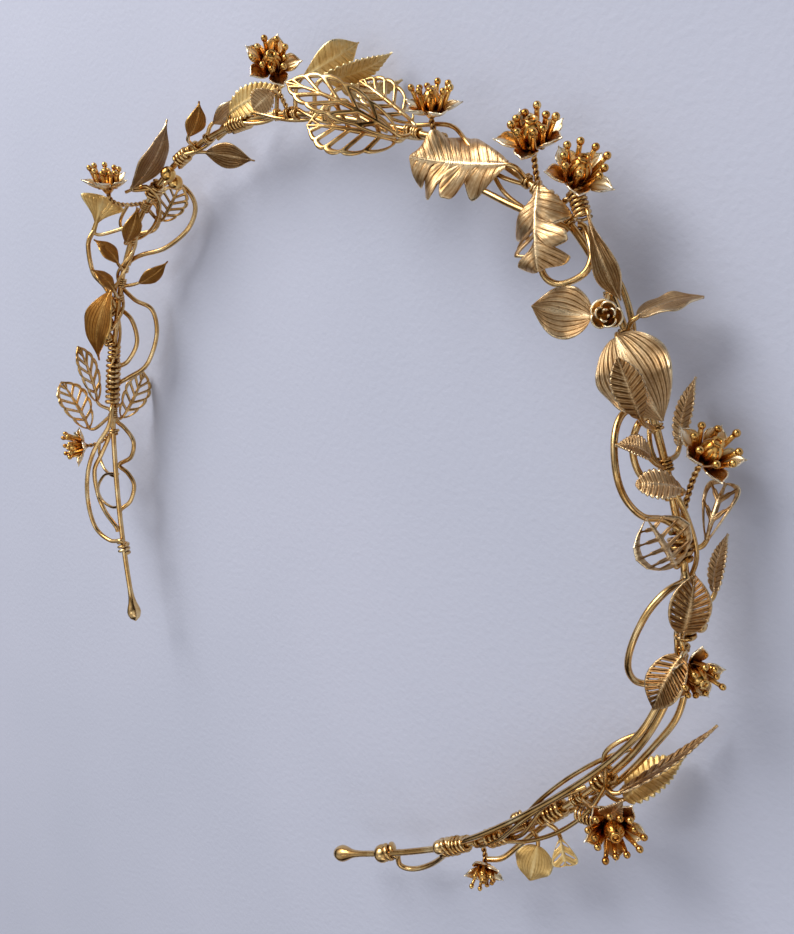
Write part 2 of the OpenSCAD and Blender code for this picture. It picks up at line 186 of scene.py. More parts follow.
# %% Geometry tree helpers
def start_tree(name, **sizes):
    """A tree with an input for each size. A size of None takes a finish."""
    tree = bpy.data.node_groups.new(name, "GeometryNodeTree")
    tree.interface.new_socket("Geometry", in_out="INPUT", socket_type="NodeSocketGeometry")
    kinds = {int: "NodeSocketInt", float: "NodeSocketFloat"}
    for key, value in sizes.items():
        kind = kinds.get(type(value), "NodeSocketMaterial")
        item = tree.interface.new_socket(key.replace("_", " "), in_out="INPUT", socket_type=kind)
        if type(value) in kinds:
            item.default_value = value
    tree.interface.new_socket("Geometry", in_out="OUTPUT", socket_type="NodeSocketGeometry")
    given = {s.name: Flow(tree, s) for s in tree.nodes.new("NodeGroupInput").outputs if s.name}
    return tree, given


def end_tree(tree, geometry, finish):
    real = geometry.node("GeometryNodeRealizeInstances", geometry)
    done = real.node("GeometryNodeSetMaterial", real, into={"Material": finish})
    tree.links.new(done.socket, tree.nodes.new("NodeGroupOutput").inputs[0])


def mesh_from(tree, sizes, start=None, after=()):
    """Runs the tree with these sizes, then the modifiers in `after`, and keeps a plain mesh."""
    thing = add("work", start or bpy.data.meshes.new("work"))
    build = thing.modifiers.new("build", "NODES")
    build.node_group = tree
    for item in tree.interface.items_tree:
        key = item.name.replace(" ", "_")
        if item.in_out == "INPUT" and key in sizes:
            build[item.identifier] = sizes[key]
    for kind, settings in after:
        extra = thing.modifiers.new(kind, kind)
        for key, value in settings.items():
            setattr(extra, key, value)
    graph = bpy.context.evaluated_depsgraph_get()
    mesh = bpy.data.meshes.new_from_object(
        thing.evaluated_get(graph), preserve_all_data_layers=True, depsgraph=graph)
    bpy.data.objects.remove(thing)
    return mesh


def joined(*flows):
    whole = flows[0].node("GeometryNodeJoinGeometry")
    for flow in flows:
        flow.tree.links.new(flow.socket, whole.socket.node.inputs[0])
    return whole


def flat_grid(start, rows, columns):
    """A flat grid, with how far along it a point is, 0 to 1, and how far across, -1 to 1."""
    flat = start.node("GeometryNodeMeshGrid", 1.0, 2.0, rows, columns)
    x, y, _ = flat.node("GeometryNodeInputPosition").parts()
    return flat, x + 0.5, y


def shaped(flat, marks, places):
    """Marks the points of a flat grid for its finish, then moves them to their places."""
    marked = flat.node("GeometryNodeStoreNamedAttribute", flat, into={
        "Name": "blade", "Value": flat.point(*marks)}, data_type="FLOAT_VECTOR", domain="POINT")
    return marked.node("GeometryNodeSetPosition", marked, into={"Position": marked.point(*places)})


def piece(name, meshes, node):
    """Joins meshes into one piece that stands in the place of a solid."""
    things = []
    for mesh in meshes:
        mesh.shade_smooth()
        things.append(add(name, mesh))
    if len(things) > 1:
        with bpy.context.temp_override(active_object=things[0], selected_editable_objects=things):
            bpy.ops.object.join()
    whole = things[0]
    whole.name = whole.data.name = name
    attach(whole, "root")
    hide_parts(node)
    return whole


print("helpers ready")

# %% [markdown]
# The finishes. The wire is polished gold, the flowers' hearts are a deep amber gold, and leaves
# and petals are softer. Each is one Principled shader, fully metallic. Noise moves its colour,
# roughness and bump, because plating and polish are never even, and painted shade darkens the
# colour in the hollows of each piece.

# %% Start and end a finish
def start_finish(name):
    material = bpy.data.materials.new(name)
    material.use_nodes = True
    material.node_tree.nodes.clear()
    return material, Flow(material.node_tree)


def end_finish(flow, colour, roughness, height, depth, metallic=1.0):
    bump = flow.node("ShaderNodeBump", into={"Height": height, "Distance": depth, "Strength": 1.0})
    shader = flow.node("ShaderNodeBsdfPrincipled", into={
        "Base Color": colour, "Roughness": roughness, "Metallic": metallic, "Normal": bump})
    flow.tree.links.new(shader.socket, flow.tree.nodes.new("ShaderNodeOutputMaterial").inputs[0])


def tones(flow, shade, stops):
    return flow.node("ShaderNodeValToRGB", shade, stops=stops)


def noise(flow, where, scale, detail=3.0):
    return flow.node("ShaderNodeTexNoise", into={"Vector": where, "Scale": scale, "Detail": detail})


def object_place(flow):
    return flow.node("ShaderNodeTexCoord", out="Object")


def painted_hollow_shade(flow):
    """Painted shade: 0 on open metal, up to 1 in a hollow of the piece, where it shades itself."""
    return 1 - flow.node("ShaderNodeAmbientOcclusion", into={"Distance": 0.0012}, out="AO",
                         samples=6, only_local=True)


def engraved(phase, width):
    """1 in the middle of a line, which lies where the phase turns over, and 0 beyond its width."""
    return (1 - (0.5 - abs(phase - 0.5)) / width).least(0.0)


# %% Gold wire
gold_wire, flow = start_finish("gold wire")
where = object_place(flow)
patches = noise(flow, where, 260.0)
grain = noise(flow, where, 2400.0, 2.0)
# Painted shade: the last term darkens the wire's colour in its own hollows.
shade = 0.04 + patches * 0.8 + grain * 0.25 - painted_hollow_shade(flow) * 0.5
colour = tones(flow, shade, [
    (0.05, (0.16, 0.05, 0.008)), (0.35, (0.46, 0.23, 0.055)), (0.58, (0.75, 0.49, 0.20)),
    (0.8, (0.94, 0.75, 0.43))])
end_finish(flow, colour, 0.13 + patches * 0.16, grain, 0.00001)

# %% Amber flower heart
amber, flow = start_finish("amber gold")
where = object_place(flow)
patches = noise(flow, where, 420.0)
# Painted shade: the heart's colour darkens in its own hollows.
colour = tones(flow, patches - painted_hollow_shade(flow) * 0.25, [
    (0.05, (0.15, 0.045, 0.006)), (0.35, (0.52, 0.23, 0.045)), (0.58, (0.80, 0.48, 0.14)),
    (0.8, (0.95, 0.72, 0.33))])
end_finish(flow, colour, 0.1 + patches * 0.14, noise(flow, where, 2600.0, 2.0), 0.00002)

# %% [markdown]
# The leaf finish follows the leaf: the blade carries an attribute with the count of veins so
# far, the place across and the height of the midrib there. A thin line is engraved at each vein
# and hair lines beside it, unevenly deep, as a hand tool cuts them. The midrib and the edge are
# smoother, and a painted highlight lightens their colour. The stops and the depth of the cut give
# five leaf golds: satin, a smoother one for the oak leaves, a bright one with painted light, and
# amber and brown ones with painted shade, all copies of one metal.

# %% Leaf finishes
EDGE, VEIN_WIDTH, HAIR_WIDTH = 0.86, 0.11, 0.28


def leaf_finish(name, stops, rough=0.36, cut=0.5):
    material, flow = start_finish(name)
    veins, across, rib = flow.node("ShaderNodeAttribute", out="Vector", attribute_name="blade").parts()
    edge = ((abs(across) - EDGE) * 8.0).least(0.0).most(1.0)
    vein = engraved(veins.fraction(), VEIN_WIDTH) * (1 - edge) * (1 - rib)
    hair = engraved((veins * 3 + 0.5).fraction(), HAIR_WIDTH) * (1 - edge) * (1 - rib)
    where = object_place(flow)
    patches = noise(flow, where, 280.0)
    strokes = noise(flow, flow.point(veins * 9.0, across * 4.0, 0.0), 1.0, 2.0)
    pits = noise(flow, where, 2200.0, 2.0)
    depth = (strokes * 1.6 - 0.1) * cut
    # Painted highlight: the edge and midrib terms lighten the colour; only the roughness below is real
    # polish.
    # Painted shade: the last term darkens the leaf's colour in its own hollows.
    shade = (0.61 + (patches - 0.5) * 0.5 + (strokes - 0.5) * 0.6 + (pits - 0.5) * 0.3
             + edge * 0.3 + rib * 0.15 - vein * depth * 1.4 - hair * depth * 0.5 - painted_hollow_shade(flow) * 0.4)
    colour = tones(flow, shade, stops)
    roughness = (rough - edge * 0.16 - rib * 0.1 + (pits - 0.5) * 0.2 - (patches - 0.5) * 0.2).least(0.15)
    relief = strokes * 0.5 + pits * 0.1 - vein * depth * 2.4 - hair * depth * 0.8
    end_finish(flow, colour, roughness, relief, 0.00012)
    return material


SATIN = [
    (0.08, (0.10, 0.03, 0.006)), (0.32, (0.37, 0.19, 0.065)), (0.58, (0.61, 0.40, 0.20)),
    (0.95, (0.92, 0.74, 0.46))]
satin_leaf = leaf_finish("satin leaf gold", SATIN)
oak_leaf = leaf_finish("oak leaf gold", SATIN, rough=0.38, cut=0.35)
# Painted light: a brighter copy of the satin gold for leaves that catch the light.
bright_painted_light_leaf = leaf_finish("bright painted light leaf gold", [
    (0.08, (0.22, 0.09, 0.015)), (0.32, (0.56, 0.32, 0.09)), (0.58, (0.80, 0.54, 0.20)),
    (0.95, (0.96, 0.79, 0.42))], rough=0.46, cut=0.3)
# Painted shade: darker amber and brown copies of the satin gold for leaves in shade.
amber_painted_shade_leaf = leaf_finish("amber painted shade leaf gold", [
    (0.08, (0.05, 0.012, 0.002)), (0.32, (0.20, 0.07, 0.01)), (0.6, (0.42, 0.18, 0.035)),
    (0.95, (0.85, 0.52, 0.16))])
brown_painted_shade_leaf = leaf_finish("brown painted shade leaf gold", [
    (0.08, (0.06, 0.015, 0.003)), (0.32, (0.22, 0.09, 0.022)), (0.6, (0.38, 0.22, 0.09)),
    (0.95, (0.78, 0.58, 0.33))], cut=0.6)

# %% [markdown]
# Petals are paler and smoother than leaves, and turn to amber at the foot: a painted reflection
# of the heart. Their attribute gives the way out, the way across and a fine streak.

# %% Petal
petal_gold, flow = start_finish("petal gold")
outward, across, streak = flow.node("ShaderNodeAttribute", out="Vector", attribute_name="blade").parts()
where = object_place(flow)
patches = noise(flow, where, 500.0)
rim = abs(across) ** 6.0
# Painted reflection: where the way out is low, the foot is painted amber as the heart's mirror image.
# Painted highlight: the rim is lighter.
# Painted shade: the last term darkens the petal's colour in its own hollows.
shade = 0.06 + outward * 0.9 + streak * 0.12 + (patches - 0.5) * 0.7 + rim * 0.15 - painted_hollow_shade(flow) * 0.2
colour = tones(flow, shade, [
    (0.02, (0.14, 0.04, 0.006)), (0.30, (0.52, 0.27, 0.07)), (0.58, (0.80, 0.58, 0.28)),
    (0.9, (0.95, 0.82, 0.57))])
end_finish(flow, colour, 0.2 + patches * 0.16 - rim * 0.1, streak + patches, 0.00003)
print("finishes:", [m.name for m in bpy.data.materials])

# %% [markdown]
# The leaf blade is a stamped sheet. It could be cut from an outline, but then each kind would
# need its own. Here it is a flat grid that formulas bend into a leaf. Its rows are the veins:
# they slant towards the tip, so a tooth or a gap made between two rows follows the veins. One
# tree with named sizes makes every kind, from a plain lance to a slotted leaf.

# %% Leaf blade tree
blade_tree, size = start_tree(
    "leaf blade", Length=0.02, Half_width=0.004, Rows=33, Columns=11, Ribs=7.0,
    Belly=1.0, Foot=0.7, Point=0.5, Least=0.12, Spread=1.3, Narrow=0.0, Slant=0.5,
    Teeth=0.0, Lobes=0.0, Notch=0.0, One_side=0.0, Uneven=0.0,
    Open=0.0, Open_from=0.1, Open_to=0.97, Open_side=0.0,
    Bow=0.0, Cup=0.0, Wave=0.0, Curl=0.0, Fold=0.0,
    Lengthwise=0.0, Relief=0.0001, Sharpness=6.0, Midrib=0.0002, Finish=None)
grid, u, y = flat_grid(size["Rows"], size["Rows"], size["Columns"])
phase = (u * size["Ribs"]).fraction()
side = y.maths("SIGN", y)
in_gap = ((abs(y) > 0.14) * (abs(y) < 0.86)
          * (abs(phase - 0.5) < size["Open"] * (0.35 + 0.15 * abs(y)))
          * (u > size["Open from"]) * (u < size["Open to"])
          * (side * size["Open side"] > -0.5))
open_grid = grid.node("GeometryNodeDeleteGeometry", grid, in_gap, domain="FACE")
turns = u * size["Ribs"] * TAU
t0 = u - size["Narrow"] * turns.sin() / (size["Ribs"] * TAU)
reach = abs(y) ** size["Spread"]
width = ((t0.least(0.0) ** size["Belly"]) * math.pi).sin().least(0.0) ** (size["Foot"] + t0 * size["Point"])
tooth = 1 - size["Teeth"] * (1 - abs((turns / 2).sin()) ** 0.6)
depth = size["Notch"] * (1 - size["One side"] * (0.5 - 0.5 * side))
lobe_turn = (t0 * size["Lobes"] - size["Uneven"] * (t0 * TAU).sin()) * TAU + side * 0.9
lobe = 1 - depth * (0.5 + 0.5 * lobe_turn.cos()) ** 3.0
half = (width * tooth * lobe).least(size["Least"] * (1 - 0.75 * t0)) * size["Half width"]
t = t0 + size["Slant"] * reach * t0 * (1 - t0)

# %% Leaf blade relief
middle = (1 - reach * 6.0).least(0.0)
groove = (0.5 + 0.5 * turns.cos()) ** size["Sharpness"] * (1 - middle)
beyond = (reach - 0.4).least(0.0)
uneven_roll = 0.8 + (0.2 + size["Uneven"]) * (t0 * 17.0 + side).sin()
roll = (size["Curl"] + size["Fold"] * side) * beyond * uneven_roll
out = reach - beyond * roll * roll / 6.0
lift = (size["Bow"] * t * (1 - t) * 4.0 + size["Cup"] * half * reach
        + half * beyond * roll * 0.5 * (1 - roll * roll / 12.0)
        + size["Wave"] * half * reach * reach * (t * 11.0 + side).sin()
        + size["Midrib"] * middle * (1 - 0.6 * t) - size["Relief"] * groove)
crosswise = u * size["Ribs"]
lines = crosswise + size["Lengthwise"] * (reach * size["Ribs"] * 0.75 - u * 1.6 - crosswise)
# The second and third marks, the place across and the midrib, drive the leaf finish's painted highlight.
bent = shaped(open_grid, (lines, side * reach, middle), (size["Length"] * t, side * half * out, lift))
end_tree(blade_tree, bent, size["Finish"])
print("leaf blade sizes:", len(size))

# %% [markdown]
# Wires. One tree winds any number of strands round a path: a plain wire is one strand with no
# winding, a flower's stem is two strands that twist round each other, and a binding is one
# strand wound round the band like a spring.

# %% Wire tree
wire_tree, size = start_tree(
    "wire", Points=60, Wire=0.0005, Winding=0.0, Strands=1, Turns=0.0, Sides=10, Finish=None)
path = size["Points"].node("GeometryNodeResampleCurve", size["Geometry"], into={"Count": size["Points"]})
copies = path.node("GeometryNodeDuplicateElements", path, into={"Amount": size["Strands"]}, domain="SPLINE")
strand = Flow(wire_tree, copies.socket.node.outputs[1])
share = copies.node("GeometryNodeSplineParameter")
angle = (share * size["Turns"] + strand / size["Strands"]) * TAU
normal = copies.node("GeometryNodeInputNormal")
tangent = copies.node("GeometryNodeInputTangent")
across = copies.node("ShaderNodeVectorMath", tangent, normal, operation="CROSS_PRODUCT")
swing = copies.node("ShaderNodeVectorMath", *[
    copies.node("ShaderNodeVectorMath", way, into={"Scale": part * size["Winding"]}, operation="SCALE")
    for way, part in ((normal, angle.cos()), (across, angle.sin()))])
wound = copies.node("GeometryNodeSetPosition", copies, into={"Offset": swing})
ring = wound.node("GeometryNodeCurvePrimitiveCircle", size["Sides"], into={"Radius": size["Wire"]})
tube = wound.node("GeometryNodeCurveToMesh", wound, ring, wound.node("GeometryNodeInputRadius"),
                  into={"Fill Caps": True})
end_tree(wire_tree, tube, size["Finish"])


def smooth(points, steps=8):
    """A smooth line through the points."""
    line = []
    for i in range(len(points) - 1):
        a, b, c, d = points[max(i - 1, 0)], points[i], points[i + 1], points[min(i + 2, len(points) - 1)]
        for k in range(steps):
            f = k / steps
            line.append(b + (c - a) * (f / 2) + (a - b * 2.5 + c * 2 - d * 0.5) * (f * f)
                        + ((b - c) * 3 + d - a) * (f ** 3 / 2))
    return line + [points[-1]]


def wire(points, wire_d, radii=None, strands=1, winding=0.0, turns=0.0, sides=10, count=None):
    """Mesh of a gold wire along points in millimetres."""
    curve = bpy.data.curves.new("path", "CURVE")
    curve.dimensions = "3D"
    line = curve.splines.new("POLY")
    line.points.add(len(points) - 1)
    for i, p in enumerate(points):
        line.points[i].co = (*(p * MM), 1)
        line.points[i].radius = radii[i] if radii else 1.0
    return mesh_from(wire_tree, {
        "Points": count or len(points), "Wire": wire_d / 2 * MM, "Winding": winding * MM,
        "Strands": strands, "Turns": float(turns), "Sides": sides, "Finish": gold_wire}, start=curve)


def length_of(points):
    return sum((b - a).length for a, b in zip(points, points[1:]))


def coil(points, over_r, wire_d, pitch=1.08):
    """Thin wire wound turn by turn round a path, over a rod of the given radius."""
    turns = max(1.5, length_of(points) / (wire_d * pitch))
    steps = int(turns * 14) + 2
    return wire(points, wire_d, winding=over_r + wire_d / 2, turns=turns, sides=7, count=steps)


print("wire tree ready")

# %% [markdown]
# The band wire ends in a drop at each end, as a wire does when a flame melts it back. Its path
# is followed station by station, and its radius swells into the drop, so both are one skin.

# %% Band wire
DROP = (  # station from the wire's end, radius
    (-6.5, 0.12), (-6.3, 0.75), (-5.5, 1.35), (-4.4, 1.7), (-3.2, 1.5), (-2, 1.05), (-0.6, 0.75),
    (1.2, 0.62))
RIGHT_END = BAND_LENGTH - 4.2
plain = [2 + k * 0.75 for k in range(490)]
stations = [s for s, _ in DROP] + plain + [RIGHT_END - s for s, _ in reversed(DROP)]
swell = [r for _, r in DROP] + [BAND_R] * len(plain) + [r for _, r in reversed(DROP)]
band_line = [place((s, 0, 0)) for s in stations]
tube = wire(band_line, 2.0, radii=swell, sides=16)
piece("gold_band", [tube], "band_wire")
print("band points:", len(band_line))

# %% [markdown]
# Vine wires leave the band, swing out as loops and come back. A bend like that follows no
# rule, so the spots that a wire passes through are listed one by one, and a smooth line joins them.

# %% Vine wires
VINES = {  # spots: station, out, up
    "left_vine_wires": [
        [(14, -1.5, 1.3), (14, 2.5, 2), (17, 6.5, 3), (23, 7, 4), (30, 4.5, 5), (36, 2.5, 4), (42, -1, 2),
         (46, -1.5, 1.3)],
        [(17.4, 0.4, 1.15), (21, 3, 2), (25, 5.5, 2), (31, 4.5, 3), (35, 2.5, 2), (39, 0.5, 1.1)],
        [(21, 1.5, -1.3), (23, -0.5, -3), (27, -2, -3.5), (30, -0.5, -3), (32, 1.5, -2), (34, -1.5, -3.5),
         (38, -3, -3.5), (41, -0.5, -3), (43, 1, -1.4)],
        [(75, 1.5, -1.3), (73, -2, -3), (72, -6, -5), (66, -7.5, -6), (58, -6, -5), (54, -2, -3),
         (52, 0.3, -1.5)],
        [(70, 1.5, -1.4), (68, -1.5, -3), (63, -3, -4), (58, -1.5, -3), (56, 0.5, -1.5)],
        [(86.2, 4.9, 6.5), (83.5, 4, 7.6), (78, 2.5, 6), (75, 1.5, 3), (72, 0, 1.5)],
        [(98, 1, -1.3), (102, 2, -4), (104, -1.5, -6), (103, -5.5, -7), (98, -8, -6), (90, -6.5, -4),
         (85, -2.5, -2), (82, 0, -1.3)],
        [(92, 2, -1.4), (95, 3, -4), (94, 0.5, -5), (91, -1, -4), (88, 1, -2)]],
    "apex_vine_wires": [
        [(181, -1.5, 2), (188, -4, 2), (199, -4, 3), (207, -2, 3.5), (211, -0.5, 1.4)],
        [(208, 1, 1.4), (212, -3.5, 4.5), (216, -5.8, 4.5), (219, -4.6, 4), (220, -0.5, 4), (218, 1.5, 3),
         (214, 2, 1.3)],
        [(213, 1, -1.3), (219, 0.5, -2), (223, 0.5, -3), (228, 0, -3), (232, -0.5, -1.5)]],
    "right_vine_wires": [
        [(240, -0.5, 1.4), (241, -2.5, 4), (244, -3.5, 6), (249, -4, 7), (253, -4, 6), (256, -3, 4),
         (257, -1, 2), (259, 1, 1.3)],
        [(242, 0, 1.4), (243, -1, 3.2), (246, -2.6, 3.4), (250, -2.6, 3), (253, -0.5, 1.5)],
        [(266, 0.5, 1.3), (267, -1, 4), (270, -3, 6), (275, -4.5, 7), (280, -5, 6), (283, -4, 4),
         (283, -2, 2), (281.5, -0.8, 1.4)]],
    "end_vine_wires": [
        [(283, 1.5, -1.3), (288, 2, -1.5), (294, 1.5, -1.5), (303, 1.5, -2), (312, 1.5, -2), (320, 1, -2),
         (330, 3, -2), (334.5, 4.2, -1.5), (337, 3.6, -0.6)],
        [(285, -0.5, 1.3), (290, -0.5, 2.5), (295, -1, 3), (302, -1.5, 3), (312, -2, 3), (324, -2, 2.5),
         (333, -1.5, 2), (338.5, -1, 1.3)],
        [(360, 0.5, -1.3), (361.4, 3.3, -2), (359, 4.6, -3), (353.5, 3.8, -3), (346, 1.2, -1.2)]],
}
print("vine wires:", sum(len(wires) for wires in VINES.values()))

# %% [markdown]
# Tendrils are thinner wires that wander round the band and the vines and fill the bundle. On the
# left arm and the top a few of them simply wind round the band, so a rule gives their spots.

# %% Tendrils
TENDRILS = {  # spots: station, out, up
    "left_vine_wires": [
        [(40.9, -0.5, -1), (38.9, 8.1, -2.5), (34.4, 11.7, -3), (30.4, 9.2, -2.5), (29.1, 3.8, -1.5),
         (30, 0.7, -1)],
        [(30, 1, -1), (28.9, 8.2, -2), (25.3, 12.8, -2.5), (22.6, 10.6, -2), (21.3, 5.5, -1.5),
         (22, 1.2, -1)],
        [(96.5, 4, 3), (101.7, 0.5, 2), (99.4, -2.4, -1), (91, -1.2, -3), (85.8, 2.5, -2), (89.3, 3, 2),
         (95, 1.7, 3)]],
    "apex_vine_wires": [
        [(178, 1.2, 1), (184, 2.4, 0), (190, 0.6, 1.8), (196, -1.6, 0.6), (202, -0.4, -1.2), (207, 1.2, 0)],
        [(194, -1, 0.8), (199, -3.2, 1), (205, -3, 0.5), (210, -1.4, -1), (214, 1, -1)]],
    "right_vine_wires": [
        [(230, 0.8, 0.6), (235, 1.2, -1), (241, -0.8, -1.3), (247, -1.2, 0.8), (253, 1, 1.2),
         (259, 1.2, -0.6), (265, -0.6, -1.2), (271, -1.2, 0.4), (277, 0.8, 1.2), (282, 1, 0)],
        [(252, 0.6, 1), (257, 1.8, 0.4), (263, 1.6, -1), (268, -0.6, -1.2), (274, -1, 0.6), (280, 1, 1.2)]],
    "end_vine_wires": [
        [(292, -0.6, 1), (295.7, -2.4, 2.5), (299, -2.6, 3), (302, -0.8, 2), (305, 1.2, 1),
         (309, 0.6, -0.8), (314, -1.6, -0.4), (319, -1.3, 0.8), (325, 0.8, 1), (331, 0.9, -0.6),
         (336, -0.6, -0.8), (342, -0.6, 0.8)],
        [(296, -0.6, 0.9), (302, -2.6, 2), (310, -3.4, 1.8), (318, -2.8, 1.4), (325, -1, 0.8)],
        [(303, 0.4, 1), (309, 2.3, 1.8), (317, 2.8, 1.6), (325, 2.2, 1), (331, 0.8, 0.6)],
        [(308, -0.8, 0.8), (314, -1.8, 2.6), (322, -1.4, 2.8), (330, 0.2, 1.9), (336, 0.7, 0.8)]],
}
SPOT_STEP = 2.5


def arm_winding(first, last, reach, turn_length, start):
    """Spots of a thin wire that winds loosely round the band."""
    spots = []
    for k in range(int((last - first) / SPOT_STEP) + 1):
        angle = start + TAU * k * SPOT_STEP / turn_length
        spots.append((first + k * SPOT_STEP, reach * math.cos(angle), reach * math.sin(angle)))
    return spots


TENDRILS["left_vine_wires"] += [arm_winding(50, 96, 1.05, 21, 0), arm_winding(66, 92, 1.1, 15, 2)]
TENDRILS["apex_vine_wires"] += [arm_winding(112, 180, 1.0, 19, 1), arm_winding(124, 172, 1.1, 27, 4)]
print("tendrils:", sum(len(wires) for wires in TENDRILS.values()))

# %% [markdown]
# A vine is pressed down on the band before it is bound. So an end that is near the band gets one
# more spot, a little beyond the last, where the wire touches the band.

# %% Bend the vines and tendrils
VINE_D, TENDRIL_D = 1.05, 0.75
NEAR_BAND, BEYOND, ON_BAND = 2.3, 1.2, 0.95


def laid_on_band(spots):
    first, last = [], []
    for (s, out, up), inner, end in ((spots[0], spots[1], first), (spots[-1], spots[-2], last)):
        reach = math.hypot(out, up)
        if reach < NEAR_BAND:
            onward = BEYOND if s > inner[0] else -BEYOND
            end.append((s + onward, out / reach * ON_BAND, up / reach * ON_BAND))
    return first + spots + last


def bent_wire(spots, wire_d, steps, sides):
    return wire(smooth([place(s) for s in spots], steps), wire_d, sides=sides)


for name, wires in VINES.items():
    tubes = [bent_wire(laid_on_band(spots), VINE_D, 8, 10) for spots in wires]
    tubes += [bent_wire(spots, TENDRIL_D, 6, 8) for spots in TENDRILS[name]]
    made = piece("smooth_" + name, tubes, name)
    print(name, len(tubes), "wires,", len(made.data.polygons), "faces")

# %% [markdown]
# The leaves. Each is a stamped sheet with its own stem, bent by hand, so each has a row of its
# own: its kind, the station where its stem leaves the band, its base and tip, its width, how far
# it is rolled about its midrib in degrees, its bow along and its cup across.

